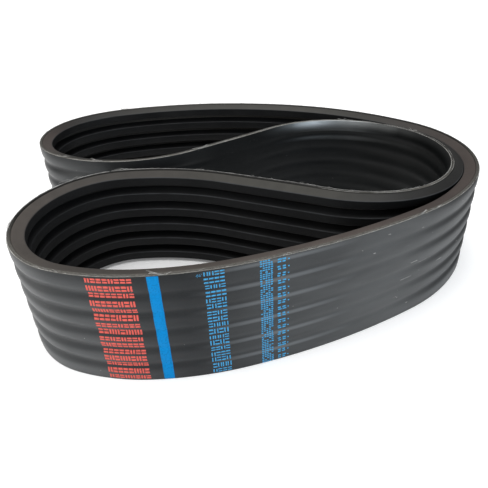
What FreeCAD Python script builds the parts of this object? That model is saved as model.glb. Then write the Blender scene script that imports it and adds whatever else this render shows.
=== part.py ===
import FreeCAD, Part
import math
import os

from FreeCAD import Vector

# Joined (banded) wrapped V-belt, six ribs of section B, 90 inch inside length.
# The endless belt stands on one edge, folded into a horseshoe: a front run, a tight
# right end, a back run, a lobe at each end of the opening on the left, and an inner
# run that bends back on itself against the inside of the right end.
#
# Frame: millimetres, +Z up along the belt's width, origin at the bottom centre of the
# bounding box, +X along the front run, +Y from the front run to the back run.
# In a cross-section, depth is measured outwards from the cord line: positive towards
# the belt's flat back, negative towards the rib faces. Height is along +Z.

# Driving dimensions, in millimetres and degrees.
RIB_COUNT = 6
RIB_PITCH = 19.05
RIB_TOP_WIDTH = 17.0
RIB_HEIGHT = 11.0
RIB_ANGLE = 40.0
RIB_CORNER_RADIUS = 0.9
CORD_LINE_BELOW_RIB_TOP = 4.2
DATUM_LENGTH = 2329.0

# Tie band across the rib backs: a flat ply, a rubber skim that fills the wave, a cover ply.
INNER_PLY_THICKNESS = 0.8
COVER_PLY_THICKNESS = 0.8
TIE_BAND_THICKNESS = 3.5
TROUGH_HALF_WIDTH = 2.0
CREST_SLOPE = 9.0

# Inside each rib.
JACKET_THICKNESS = 0.9
GUM_HALF_THICKNESS = 1.0
CORD_DIAMETER = 1.5
CORD_SIDES = 6
CORD_CLEARANCE = 0.03
CORD_SPACING = 1.95
CORDS_PER_RIB = 6

# The cord line's plan, walked anticlockwise from the front run: (turn, radius) of each
# stretch, a right-hand turn negative. SOLVED lengths close the loop at DATUM_LENGTH.
SOLVED = None
ROUTE = [
    (14.0, 332.0),
    (15.0, 676.0),
    (24.0, 188.0),
    (81.0, 112.0),
    (24.0, 315.0),
    (35.0, 455.0),
    (25.0, 126.0),
    (106.0, SOLVED),
    (68.0, 140.0),
    (0.0, SOLVED),
    (-81.0, 134.0),
    (-128.0, 94.0),
    (-25.0, 139.0),
    (0.0, SOLVED),
    (27.0, 238.0),
    (156.0, 80.0),
    (19.0, 197.0),
]

# Derived sizes.
SLOPE = math.tan(math.radians(RIB_ANGLE / 2.0))
RIB_BACK = CORD_LINE_BELOW_RIB_TOP
RIB_FACE = RIB_BACK - RIB_HEIGHT
BAND_BACK = RIB_BACK + TIE_BAND_THICKNESS
BELT_WIDTH = (RIB_COUNT - 1) * RIB_PITCH + RIB_TOP_WIDTH

# A cord's section is a hexagon of the round cord's area, which keeps its mesh light.
CORNER_STEP = math.radians(360.0 / CORD_SIDES)
CORD_CORNER = CORD_DIAMETER / 2.0 * math.sqrt(CORNER_STEP / math.sin(CORNER_STEP))
BED_CORNER = CORD_CORNER + CORD_CLEARANCE / math.cos(CORNER_STEP / 2.0)

SEW_TOLERANCE = 1e-5


def rib_centre(rib):
    """Height of a rib's centre, ribs counted from 1 at the bottom."""
    return RIB_TOP_WIDTH / 2.0 + (rib - 1) * RIB_PITCH


# ---------------------------------------------------------------- the plan of the loop

def unit_reach(turn, heading):
    """What one unit of a stretch's unknown (radius, or length if straight) adds to x, y, length."""
    if turn == 0.0:
        return (math.cos(heading), math.sin(heading), 1.0)
    side = math.copysign(1.0, turn)
    after = heading + math.radians(turn)
    across = side * (math.sin(after) - math.sin(heading))
    along = -side * (math.cos(after) - math.cos(heading))
    return (across, along, abs(math.radians(turn)))


def closed_route():
    """The route with its three solved sizes, so that it closes at the datum length."""
    heading = 0.0
    reaches = []
    for turn, size in ROUTE:
        reaches.append(unit_reach(turn, heading))
        heading += math.radians(turn)
    missing = [0.0, 0.0, DATUM_LENGTH]
    unknown = []
    for (turn, size), reach in zip(ROUTE, reaches):
        if size is SOLVED:
            unknown.append(Vector(*reach))
        else:
            missing = [rest - size * part for rest, part in zip(missing, reach)]
    target = Vector(*missing)
    first, second, third = unknown
    volume = first.dot(second.cross(third))
    solved = iter([
        target.dot(second.cross(third)) / volume,
        first.dot(target.cross(third)) / volume,
        first.dot(second.cross(target)) / volume,
    ])
    return [(turn, next(solved) if size is SOLVED else size) for turn, size in ROUTE]


class Stretch:
    """One straight or circular stretch of the cord line."""

    def __init__(self, start, heading, turn, size):
        self.start = start
        self.turn = turn
        self.size = size
        self.ahead = Vector(math.cos(heading), math.sin(heading), 0.0)
        self.outward = Vector(math.sin(heading), -math.cos(heading), 0.0)
        self.end_heading = heading + math.radians(turn)
        if turn == 0.0:
            self.length = size
            self.end = start + self.ahead * size
        else:
            side = math.copysign(1.0, turn)
            self.length = abs(math.radians(turn)) * size
            self.centre = start - self.outward * (side * size)
            self.end = self.turned(start, turn)

    def turned(self, point, angle):
        """A point turned about the stretch's centre."""
        arm = point - self.centre
        cosine = math.cos(math.radians(angle))
        sine = math.sin(math.radians(angle))
        turned_arm = Vector(arm.x * cosine - arm.y * sine, arm.x * sine + arm.y * cosine, arm.z)
        return self.centre + turned_arm

    def sweep(self, edge):
        """The face that a cross-section edge draws along this stretch."""
        if self.turn == 0.0:
            return edge.extrude(self.ahead * self.size)
        if self.turn > 0.0:
            return edge.revolve(self.centre, Vector(0, 0, 1), self.turn)
        return edge.revolve(self.centre, Vector(0, 0, -1), -self.turn)

    def place(self, depth, height):
        """A cross-section point at the start of this stretch."""
        return self.start + self.outward * depth + Vector(0.0, 0.0, height)


def lay_stretches(origin):
    """Every stretch of the loop, the first one starting at origin with heading +X."""
    stretches = []
    start = origin
    heading = 0.0
    for turn, size in closed_route():
        stretch = Stretch(start, heading, turn, size)
        stretches.append(stretch)
        start = stretch.end
        heading = stretch.end_heading
    return stretches


def back_outline(stretches, depth):
    """Closed wire of the loop at one depth, at height 0."""
    edges = []
    for stretch in stretches:
        first = stretch.place(depth, 0.0)
        if stretch.turn == 0.0:
            edges.append(Part.makeLine(first, first + stretch.ahead * stretch.size))
        else:
            middle = stretch.turned(first, stretch.turn / 2.0)
            last = stretch.turned(first, stretch.turn)
            edges.append(Part.Arc(first, middle, last).toShape())
    return Part.Wire(edges)


def centred_stretches():
    """The loop moved so that the origin is at the middle of its outer outline."""
    trial = lay_stretches(Vector(0, 0, 0))
    box = back_outline(trial, BAND_BACK).BoundBox
    return lay_stretches(Vector(-box.Center.x, -box.Center.y, 0.0))


# ---------------------------------------------------------------- cross-sections
# A section is a closed list of pieces, each (depth, height) points: two for a line,
# three for an arc through its middle point.

def polygon(points):
    """Straight pieces through the points, closed."""
    return [[first, last] for first, last in zip(points, points[1:] + points[:1])]


def rounded_polygon(points, radius):
    """Closed polygon with every corner rounded by the same radius."""
    pieces = []
    count = len(points)
    arcs = []
    for index, corner in enumerate(points):
        before = Vector(*points[index - 1], 0.0) - Vector(*corner, 0.0)
        after = Vector(*points[(index + 1) % count], 0.0) - Vector(*corner, 0.0)
        half = before.getAngle(after) / 2.0
        before.normalize()
        after.normalize()
        reach = radius / math.tan(half)
        inward = before + after
        inward.normalize()
        middle = inward * (radius / math.sin(half) - radius)
        tip = Vector(*corner, 0.0)
        arcs.append([tip + before * reach, tip + middle, tip + after * reach])
    for index, arc in enumerate(arcs):
        following = arcs[(index + 1) % count]
        pieces.append([(point.x, point.y) for point in arc])
        pieces.append([(arc[2].x, arc[2].y), (following[0].x, following[0].y)])
    return pieces


def rib_half_width(depth):
    """Half the rib's outer width at a depth."""
    return RIB_TOP_WIDTH / 2.0 - (RIB_BACK - depth) * SLOPE


def rib_trapezoid(rib, low, high, wall):
    """Corners of the rib's section between two depths, a wall thickness in from its flanks."""
    centre = rib_centre(rib)
    inset = wall / math.cos(math.radians(RIB_ANGLE / 2.0))
    narrow = rib_half_width(low) - inset
    wide = rib_half_width(high) - inset
    return [
        (low, centre - narrow),
        (high, centre - wide),
        (high, centre + wide),
        (low, centre + narrow),
    ]


def wave_points(rise):
    """The tie band's wave from bottom to top: rib crests joined by hollows between ribs."""
    sine = math.sin(math.radians(CREST_SLOPE))
    fall = 1.0 - math.cos(math.radians(CREST_SLOPE))
    crest_half = RIB_PITCH / 2.0 - TROUGH_HALF_WIDTH
    crest_radius = crest_half / sine
    trough_radius = TROUGH_HALF_WIDTH / sine
    crest = RIB_BACK + rise
    shoulder = crest - crest_radius * fall
    hollow = shoulder - trough_radius * fall
    edge_fall = crest_radius - math.sqrt(crest_radius ** 2 - (RIB_TOP_WIDTH / 2.0) ** 2)
    pieces = []
    last = (crest - edge_fall, 0.0)
    for rib in range(1, RIB_COUNT + 1):
        centre = rib_centre(rib)
        if rib == RIB_COUNT:
            pieces.append([last, (crest, centre), (crest - edge_fall, BELT_WIDTH)])
            continue
        end = (shoulder, centre + crest_half)
        pieces.append([last, (crest, centre), end])
        last = (shoulder, centre + RIB_PITCH - crest_half)
        pieces.append([end, (hollow, centre + RIB_PITCH / 2.0), last])
    return pieces


def reversed_pieces(pieces):
    """The same pieces walked the other way."""
    return [piece[::-1] for piece in reversed(pieces)]


def join_pieces(going_up, coming_down):
    """Closed section from one line going up and another coming down."""
    top = [going_up[-1][-1], coming_down[0][0]]
    bottom = [coming_down[-1][-1], going_up[0][0]]
    return going_up + [top] + coming_down + [bottom]


def inner_ply_section():
    """Flat fabric ply bonded to the backs of all the ribs."""
    back = RIB_BACK + INNER_PLY_THICKNESS
    return polygon([(RIB_BACK, 0.0), (back, 0.0), (back, BELT_WIDTH), (RIB_BACK, BELT_WIDTH)])


def skim_section():
    """Rubber between the plies, thick over each rib and thin between ribs."""
    back = RIB_BACK + INNER_PLY_THICKNESS
    flat = [[(back, BELT_WIDTH), (back, 0.0)]]
    return join_pieces(wave_points(TIE_BAND_THICKNESS - COVER_PLY_THICKNESS), flat)


def cover_ply_section():
    """Outer fabric ply, which follows the wave at one thickness."""
    inside = wave_points(TIE_BAND_THICKNESS - COVER_PLY_THICKNESS)
    outside = wave_points(TIE_BAND_THICKNESS)
    return join_pieces(outside, reversed_pieces(inside))


def tension_section(rib):
    """Rubber over the cords."""
    top = RIB_BACK - JACKET_THICKNESS
    return polygon(rib_trapezoid(rib, GUM_HALF_THICKNESS, top, JACKET_THICKNESS))


def compression_section(rib):
    """Rubber under the cords, which carries the wedging load to the sheave."""
    low = RIB_FACE + JACKET_THICKNESS
    return polygon(rib_trapezoid(rib, low, -GUM_HALF_THICKNESS, JACKET_THICKNESS))


def cord_heights(rib):
    """Heights of one rib's cords."""
    first = rib_centre(rib) - (CORDS_PER_RIB - 1) * CORD_SPACING / 2.0
    return [first + index * CORD_SPACING for index in range(CORDS_PER_RIB)]


def cord_corners(height, radius, side):
    """Corners of half a cord's section, from its lowest to its highest, on one side."""
    corners = []
    for index in range(CORD_SIDES // 2 + 1):
        angle = index * CORNER_STEP
        corners.append((side * radius * math.sin(angle), height - radius * math.cos(angle)))
    return corners


def cord_section(height):
    """A whole cord."""
    going_up = cord_corners(height, CORD_CORNER, 1.0)
    coming_down = cord_corners(height, CORD_CORNER, -1.0)[::-1]
    return polygon(going_up + coming_down[1:-1])


def gum_section(rib, side):
    """Half of the adhesion gum: side +1 over the cords, -1 under them, with the cords' beds."""
    face = side * GUM_HALF_THICKNESS
    low, high = sorted((0.0, face))
    corners = rib_trapezoid(rib, low, high, JACKET_THICKNESS)
    bottom, top = sorted(corner for corner in corners if corner[0] == 0.0)
    face_bottom, face_top = sorted(corner for corner in corners if corner[0] == face)
    beds = []
    for height in cord_heights(rib):
        beds += cord_corners(height, BED_CORNER, side)
    return polygon([bottom] + beds + [top, face_top, face_bottom])


# ---------------------------------------------------------------- solids

def section_edges(section, stretch):
    """Edges of a section at the start of a stretch."""
    edges = []
    for piece in section:
        points = [stretch.place(depth, height) for depth, height in piece]
        if len(points) == 2:
            edges.append(Part.makeLine(*points))
        else:
            edges.append(Part.Arc(*points).toShape())
    return edges


def ring_shell(section, stretches):
    """Closed shell of a section carried once round the loop."""
    faces = []
    for stretch in stretches:
        faces += [stretch.sweep(edge) for edge in section_edges(section, stretch)]
    shell = Part.makeShell(faces)
    shell.sewShape(SEW_TOLERANCE)
    return shell


def ring_solid(section, stretches):
    """Endless solid of one closed section."""
    solid = Part.makeSolid(ring_shell(section, stretches).Shells[0])
    if solid.Volume < 0.0:
        solid.reverse()
    return solid.removeSplitter()


def jacket_solid(rib, stretches):
    """Fabric wrapped all round one rib's rubber."""
    outer = rounded_polygon(rib_trapezoid(rib, RIB_FACE, RIB_BACK, 0.0), RIB_CORNER_RADIUS)
    inner = polygon(rib_trapezoid(
        rib, RIB_FACE + JACKET_THICKNESS, RIB_BACK - JACKET_THICKNESS, JACKET_THICKNESS))
    return ring_solid(outer, stretches).cut(ring_solid(inner, stretches)).Solids[0]


def cord_group(rib, stretches):
    """One rib's endless cords, side by side."""
    return Part.makeCompound([
        ring_solid(cord_section(height), stretches) for height in cord_heights(rib)
    ])


def build_nodes():
    """Every node's shape by name."""
    stretches = centred_stretches()
    nodes = {
        "tie_band_inner_ply": ring_solid(inner_ply_section(), stretches),
        "tie_band_rubber_skim": ring_solid(skim_section(), stretches),
        "tie_band_cover_ply": ring_solid(cover_ply_section(), stretches),
    }
    for rib in range(1, RIB_COUNT + 1):
        name = "rib_%d_" % rib
        nodes[name + "fabric_jacket"] = jacket_solid(rib, stretches)
        nodes[name + "tension_rubber"] = ring_solid(tension_section(rib), stretches)
        nodes[name + "upper_cord_gum"] = ring_solid(gum_section(rib, 1.0), stretches)
        nodes[name + "tensile_cords"] = cord_group(rib, stretches)
        nodes[name + "lower_cord_gum"] = ring_solid(gum_section(rib, -1.0), stretches)
        nodes[name + "compression_rubber"] = ring_solid(compression_section(rib), stretches)
    return nodes


def main():
    os.makedirs("parts", exist_ok=True)
    for name, shape in build_nodes().items():
        shape.exportStep("parts/%s.step" % name)
        print(name, "valid", shape.isValid(), "volume %.1f mm3" % shape.Volume)


main()
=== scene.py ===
import math

import bpy
import numpy as np
from mathutils import Matrix, Vector


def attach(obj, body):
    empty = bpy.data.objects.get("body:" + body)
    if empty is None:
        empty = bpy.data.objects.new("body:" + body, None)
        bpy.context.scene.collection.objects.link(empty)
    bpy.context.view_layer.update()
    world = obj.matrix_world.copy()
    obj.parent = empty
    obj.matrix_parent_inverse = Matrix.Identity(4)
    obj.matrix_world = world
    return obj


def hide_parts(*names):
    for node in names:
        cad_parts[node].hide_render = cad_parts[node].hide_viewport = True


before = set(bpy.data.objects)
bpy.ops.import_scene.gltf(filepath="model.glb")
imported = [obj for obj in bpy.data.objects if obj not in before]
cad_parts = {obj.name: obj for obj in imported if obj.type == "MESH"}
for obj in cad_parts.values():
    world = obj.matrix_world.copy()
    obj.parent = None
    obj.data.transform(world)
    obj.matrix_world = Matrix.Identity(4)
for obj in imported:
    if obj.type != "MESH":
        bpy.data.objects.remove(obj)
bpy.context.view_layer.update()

# ---------------------------------------- sizes, in metres and degrees
MM = 0.001
BODY = "root"
RIB_COUNT = 6
RIB_PITCH = 19.05 * MM
RIB_TOP_WIDTH = 17.0 * MM
RIB_HEIGHT = 11.0 * MM
RIB_ANGLE = math.radians(20.0)
RIB_SLOPE = math.tan(RIB_ANGLE)
RIB_BACK = 4.2 * MM
RIB_FACE = RIB_BACK - RIB_HEIGHT
JACKET_THICKNESS = 0.9 * MM
FACE_CORNER = 0.9 * MM
BACK_CORNER = 1.1 * MM
BELT_WIDTH = (RIB_COUNT - 1) * RIB_PITCH + RIB_TOP_WIDTH
BAND_BACK = RIB_BACK + 3.5 * MM
INNER_PLY_BACK = RIB_BACK + 0.8 * MM
COVER_THICKNESS = 0.8 * MM
COVER_THINNEST = 0.3 * MM
DATUM_LENGTH = 2329.0 * MM

# The cord line in plan, walked anticlockwise from the front run: (turn in degrees, radius
# in mm), with turn 0 for a straight. Each None is solved, so that the loop closes at the
# datum length.
ROUTE = [
    (14.0, 332.0),
    (15.0, 676.0),
    (24.0, 188.0),
    (81.0, 112.0),
    (24.0, 315.0),
    (35.0, 455.0),
    (25.0, 126.0),
    (106.0, None),
    (68.0, 140.0),
    (0.0, None),
    (-81.0, 134.0),
    (-128.0, 94.0),
    (-25.0, 139.0),
    (0.0, None),
    (27.0, 238.0),
    (156.0, 80.0),
    (19.0, 197.0),
]

# Where the meshes' first station lies along the cord line: in the inner run, out of sight.
SEAM = 1200.0 * MM
STATIONS = 800

rng = np.random.default_rng(7)


# ---------------------------------------- the loop in plan

class CordLine:
    """The cord line: arcs and straights walked once round the loop."""

    def __init__(self):
        turns = np.radians([turn for turn, size in ROUTE])
        self.headings = np.concatenate([[0.0], np.cumsum(turns)[:-1]])
        unit = np.where(turns == 0.0, 1.0, np.abs(turns))
        across = np.sinc(turns / 2.0 / np.pi) * unit
        middle = self.headings + turns / 2.0
        reach = np.stack([across * np.cos(middle), across * np.sin(middle), unit])
        sizes = np.array([0.0 if size is None else size * MM for turn, size in ROUTE])
        free = [index for index, (turn, size) in enumerate(ROUTE) if size is None]
        missing = np.array([0.0, 0.0, DATUM_LENGTH]) - reach @ sizes
        sizes[free] = np.linalg.solve(reach[:, free], missing)
        self.lengths = unit * sizes
        self.bends = np.where(turns == 0.0, 0.0, turns / self.lengths)
        self.begins = np.concatenate([[0.0], np.cumsum(self.lengths)[:-1]])
        self.length = float(self.lengths.sum())
        steps = (reach[:2] * sizes).T
        self.starts = np.concatenate([np.zeros((1, 2)), np.cumsum(steps, axis=0)[:-1]])
        outline = self.plan(np.linspace(0.0, self.length, 8000), BAND_BACK)
        self.starts -= (outline.min(axis=0) + outline.max(axis=0)) / 2.0

    def parts(self, along):
        """Stretch index and distance into it."""
        along = np.mod(along, self.length)
        index = np.searchsorted(self.begins, along, side="right") - 1
        return index, along - self.begins[index]

    def plan(self, along, depth):
        """Points in plan at a depth outside the cord line."""
        index, rest = self.parts(along)
        swing = self.bends[index] * rest
        chord = rest * np.sinc(swing / 2.0 / np.pi)
        middle = self.headings[index] + swing / 2.0
        heading = self.headings[index] + swing
        x = self.starts[index, 0] + chord * np.cos(middle) + depth * np.sin(heading)
        y = self.starts[index, 1] + chord * np.sin(middle) - depth * np.cos(heading)
        return np.stack([x, y], axis=-1)

    def bend(self, along):
        """Bend, one over radius, positive where the flat back is outside the bend."""
        return self.bends[self.parts(along)[0]]


cord_line = CordLine()
stations = SEAM + np.arange(STATIONS) * (cord_line.length / STATIONS)


def smooth_round(values, reach):
    """Values at the stations, blurred along the closed loop over a distance."""
    step = cord_line.length / STATIONS
    offsets = np.minimum(np.arange(STATIONS), STATIONS - np.arange(STATIONS)) * step
    kernel = np.exp(-0.5 * (offsets / reach) ** 2)
    kernel /= kernel.sum()
    return np.real(np.fft.ifft(np.fft.fft(values) * np.fft.fft(kernel)))


def wander(reach, amount):
    """A slow random wander along the loop, at the stations."""
    noise = smooth_round(rng.normal(size=STATIONS), reach)
    return noise / noise.std() * amount


def at_station(table, along):
    """A table of values at the stations, read at any place along the loop."""
    where = np.mod(np.asarray(along) - SEAM, cord_line.length) / cord_line.length * STATIONS
    return np.interp(where, np.arange(STATIONS + 1), np.append(table, table[0]))


def by_stops(stops, along):
    """A value in mm that changes along the belt, from (place in mm, value in mm) stops."""
    places, values = zip(*stops)
    return np.interp(np.asarray(along) / MM, places, values, period=cord_line.length / MM) * MM


# ---------------------------------------- the back's wave
# The tie band bulges over each rib and sinks between ribs, more where the belt is bent.
FLAT_WAVE = 0.10 * MM
BEND_WAVE = 2.30 * MM
HOLLOW_WAVE = 1.15 * MM
DEEPEST_WAVE = 2.2 * MM
FULL_BEND = 1.0 / (105.0 * MM)
WAVE_REACH = 18.0 * MM
FLAT_SHARPNESS = 4.0
BEND_SHARPNESS = 2.0
FULLY_SHARP_BEND = 1.5
EDGE_SHARE = 0.50
MOST_WAVE_BEND = 1.2
# How much the valleys differ from one another, and over what distance.
VALLEY_CHANGE = 0.10
VALLEY_REACH = 60.0 * MM
# A slow unevenness of the whole back, and the margin that keeps it inside the CAD shape.
RIPPLE = 0.05 * MM
RIPPLE_REACH = 90.0 * MM
BACK_MARGIN = 0.1 * MM
# How far the two edges lean inwards where the belt is bent backwards.
CURL = 2.8 * MM
CURL_REACH = 15.0 * MM
MOST_CURL_BEND = 1.1
MOST_CURL_NEARNESS = 1.2

bend_share = cord_line.bend(stations) / FULL_BEND
wave_size = smooth_round(
    FLAT_WAVE
    + BEND_WAVE * np.clip(bend_share, 0.0, MOST_WAVE_BEND)
    + HOLLOW_WAVE * np.clip(-bend_share, 0.0, MOST_WAVE_BEND),
    WAVE_REACH,
)
curl_size = smooth_round(CURL * np.clip(-bend_share, 0.0, MOST_CURL_BEND), 1.5 * WAVE_REACH)
valleys = [
    np.minimum(wave_size * (1.0 + wander(VALLEY_REACH, VALLEY_CHANGE)), DEEPEST_WAVE)
    for _ in range(RIB_COUNT + 1)
]
sharp_share = np.clip(np.abs(bend_share) * FULLY_SHARP_BEND, 0.0, 1.0)
sharpness = smooth_round(
    FLAT_SHARPNESS + (BEND_SHARPNESS - FLAT_SHARPNESS) * sharp_share, WAVE_REACH)
ripple = wander(RIPPLE_REACH, RIPPLE)


def edge_curl(along, height):
    """How far the belt's two edges lean towards its ribs where it is bent backwards."""
    from_middle = np.abs(np.asarray(height) - BELT_WIDTH / 2.0)
    near = np.clip((from_middle - BELT_WIDTH / 2.0) / CURL_REACH + 1.0, 0.0, MOST_CURL_NEARNESS)
    return at_station(curl_size, along) * near ** 2


def on_belt(along, depth, height):
    """Points of the bent belt in the row frame, for arrays that broadcast together."""
    along, depth, height = np.broadcast_arrays(along, depth, height)
    plan = cord_line.plan(along, depth - edge_curl(along, height))
    return np.concatenate([plan, height[..., None]], axis=-1)


def back_depth(along, height):
    """Depth of the tie band's back at a place along the belt and a height across it."""
    along, height = np.broadcast_arrays(along, height)
    rib = np.clip(np.round((height - RIB_TOP_WIDTH / 2.0) / RIB_PITCH), 0, RIB_COUNT - 1)
    across = (height - RIB_TOP_WIDTH / 2.0 - rib * RIB_PITCH) / (RIB_PITCH / 2.0)
    outside = ((rib == 0) & (across < 0.0)) | ((rib == RIB_COUNT - 1) & (across > 0.0))
    across = np.where(outside, across * EDGE_SHARE, across)
    dip = 0.5 - 0.5 * np.cos(np.pi * np.clip(np.abs(across), 0.0, 1.0))
    fall = dip ** at_station(sharpness, along)
    valley = (rib + (across > 0.0)).astype(int)
    size = np.zeros(along.shape)
    for index in range(RIB_COUNT + 1):
        size = np.where(valley == index, at_station(valleys[index], along), size)
    return BAND_BACK - BACK_MARGIN + at_station(ripple, along) - size * fall


# ---------------------------------------- meshes

def new_object(name, points, faces, uvs=None):
    """A mesh object that rides on the belt. uvs holds (along, across) for each face corner."""
    mesh = bpy.data.meshes.new(name)
    mesh.from_pydata([tuple(point) for point in points], [], faces)
    if uvs is not None:
        layer = mesh.uv_layers.new(name="belt")
        layer.data.foreach_set("uv", np.asarray(uvs, dtype=np.float32).ravel())
    mesh.polygons.foreach_set("use_smooth", [True] * len(mesh.polygons))
    mesh.update()
    piece = bpy.data.objects.new(name, mesh)
    bpy.context.scene.collection.objects.link(piece)
    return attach(piece, BODY)


def joined_object(name, parts):
    """One object of several (points, faces) parts."""
    points = []
    faces = []
    for more_points, more_faces in parts:
        first = len(points)
        points += list(more_points)
        faces += [[first + index for index in face] for face in more_faces]
    piece = new_object(name, points, faces)
    return piece


def ring_faces(rows, columns, first):
    """Quads of a grid closed both ways, with the row and column of each corner."""
    faces = []
    corners = []
    for row in range(rows):
        for column in range(columns):
            loop = [(row, column), (row + 1, column), (row + 1, column + 1), (row, column + 1)]
            faces.append([first + r % rows * columns + c % columns for r, c in loop])
            corners += loop
    return faces, corners


def ring_object(name, sections):
    """A closed ring. Each section is (depth, height) arrays, one row for each station."""
    points = []
    faces = []
    uvs = []
    for depth, height in sections:
        depth, height = np.broadcast_arrays(depth, height)
        count = depth.shape[1]
        ring = on_belt(stations[:, None], depth, height).reshape(-1, 3)
        ring_quads, corners = ring_faces(STATIONS, count, len(points))
        sides = [np.diff(np.append(values[0], values[0, 0])) for values in (depth, height)]
        around = np.concatenate([[0.0], np.cumsum(np.hypot(*sides))])
        step = cord_line.length / STATIONS
        uvs += [(SEAM + row * step, around[column]) for row, column in corners]
        points += list(ring)
        faces += ring_quads
    return new_object(name, points, faces, uvs)


def rounded_corner(before, corner, after, radius, count):
    """Points of a rounded corner in a section."""
    before, corner, after = (np.array(point) for point in (before, corner, after))
    first = (before - corner) / np.linalg.norm(before - corner)
    last = (after - corner) / np.linalg.norm(after - corner)
    half = math.acos(float(first @ last)) / 2.0
    start = corner + first * radius / math.tan(half)
    centre = corner + (first + last) / np.linalg.norm(first + last) * radius / math.sin(half)
    arm = start - centre
    sense = math.copysign(1.0, first[1] * last[0] - first[0] * last[1])
    turn = (math.pi - 2.0 * half) * sense
    points = []
    for step in range(count + 1):
        angle = turn * step / count
        cosine, sine = math.cos(angle), math.sin(angle)
        points.append(centre + (arm[0] * cosine - arm[1] * sine, arm[0] * sine + arm[1] * cosine))
    return points


def rounded_outline(corners, radii, counts, sides):
    """A closed outline: rounded corners, with points added along each side after a corner."""
    arcs = []
    for index, corner in enumerate(corners):
        before, after = corners[index - 1], corners[(index + 1) % len(corners)]
        arcs.append(rounded_corner(before, corner, after, radii[index], counts[index]))
    outline = []
    for index, arc in enumerate(arcs):
        outline += arc
        last, goal = arc[-1], arcs[(index + 1) % len(arcs)][0]
        for step in range(1, sides[index]):
            outline.append(last + (goal - last) * step / sides[index])
    return np.array(outline)


def rib_corners(rib, inset):
    """The rib's section corners: face low, back low, back high, face high."""
    centre = RIB_TOP_WIDTH / 2.0 + rib * RIB_PITCH
    shift = inset / math.cos(RIB_ANGLE)
    low, high = RIB_FACE + inset, RIB_BACK - inset
    narrow = RIB_TOP_WIDTH / 2.0 - (RIB_BACK - low) * RIB_SLOPE - shift
    wide = RIB_TOP_WIDTH / 2.0 - (RIB_BACK - high) * RIB_SLOPE - shift
    low_side = [(low, centre - narrow), (high, centre - wide)]
    return low_side + [(high, centre + wide), (low, centre + narrow)]


# Steps round each corner of a jacket's outline, and along the side that follows it.
CORNER_STEPS = [5, 4, 4, 5]
SIDE_STEPS = [4, 3, 4, 4]
SWELL = 0.06 * MM
SWELL_REACH = 50.0 * MM


def make_jacket(rib):
    """The fabric wrapped round one rib, with its rounded corners."""
    corners = rib_corners(rib, 0.0)
    radii = [FACE_CORNER, BACK_CORNER, BACK_CORNER, FACE_CORNER]
    outer = rounded_outline(corners, radii, CORNER_STEPS, SIDE_STEPS)
    inner = np.array(rib_corners(rib, JACKET_THICKNESS))[::-1]
    swell = wander(SWELL_REACH, SWELL)[:, None]
    face_share = np.clip((RIB_BACK - outer[:, 0]) / RIB_HEIGHT, 0.0, 1.0)[None, :]
    sections = [
        (outer[None, :, 0] + swell * face_share, outer[None, :, 1] + 0.0 * swell),
        (inner[None, :, 0] + 0.0 * swell, inner[None, :, 1] + 0.0 * swell),
    ]
    jacket = ring_object("rib_%d_jacket" % (rib + 1), sections)
    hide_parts("rib_%d_fabric_jacket" % (rib + 1))
    return jacket


# Steps across the back for each rib, and the extra ones near its two edges.
WAVE_STEPS = 13
NEAR_EDGE = np.array([0.12, 0.35, 0.7]) * MM
SHOULDER = 0.12 * MM
underside_heights = np.linspace(BELT_WIDTH, 0.0, 4 * RIB_COUNT + 1)


def cover_heights():
    """Heights across the back, close together near both edges."""
    inside = np.linspace(0.0, BELT_WIDTH, WAVE_STEPS * RIB_COUNT + 1)[1:-1]
    return np.concatenate([NEAR_EDGE, inside, BELT_WIDTH - NEAR_EDGE[::-1]])


def cover_underside(height):
    """Depth of the cover ply's underside."""
    outer = back_depth(stations[:, None], height)
    return np.minimum(np.maximum(outer - COVER_THICKNESS, INNER_PLY_BACK), outer - COVER_THINNEST)


def make_cover():
    """The tie band's cover ply: the belt's back and its cut edges."""
    up = cover_heights()
    outer = back_depth(stations[:, None], up[None, :])
    outer[:, [0, -1]] -= SHOULDER
    bottom, top = (back_depth(stations[:, None], edge) for edge in (0.0, BELT_WIDTH))
    depth = np.concatenate([
        bottom - 2.5 * SHOULDER,
        outer,
        top - 2.5 * SHOULDER,
        cover_underside(underside_heights[None, :]),
    ], axis=1)
    height = np.concatenate([[0.0], up, [BELT_WIDTH], underside_heights])[None, :] + 0.0 * depth
    cover = ring_object("belt_back", [(depth, height)])
    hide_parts("tie_band_cover_ply")
    return cover


SKIM_GAP = 0.15 * MM


def make_skim():
    """The rubber between the two plies, seen as a thin line on the cut edges."""
    down = underside_heights
    under = cover_underside(down[None, :])
    depth = np.concatenate([under[:, ::-1], INNER_PLY_BACK + 0.0 * under], axis=1)
    height = np.clip(np.concatenate([down[::-1], down]), SKIM_GAP, BELT_WIDTH - SKIM_GAP)
    height = height[None, :] + 0.0 * depth
    skim = ring_object("tie_band_skim", [(depth, height)])
    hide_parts("tie_band_rubber_skim")
    return skim


# How far the inner ply's top edge lies below the cover's, by place along the belt, in mm.
SEAM_GROOVE = [
    (0.0, 0.05), (390.0, 0.05), (440.0, 0.6), (560.0, 0.6), (640.0, 0.3), (1200.0, 0.0),
    (1810.0, 0.0), (1850.0, 0.8), (2170.0, 0.9), (2215.0, 0.1),
]
PLY_CORNER = 0.2 * MM
PLY_FRAY = 0.05 * MM
PLY_FRAY_REACH = 3.0 * MM


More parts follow.
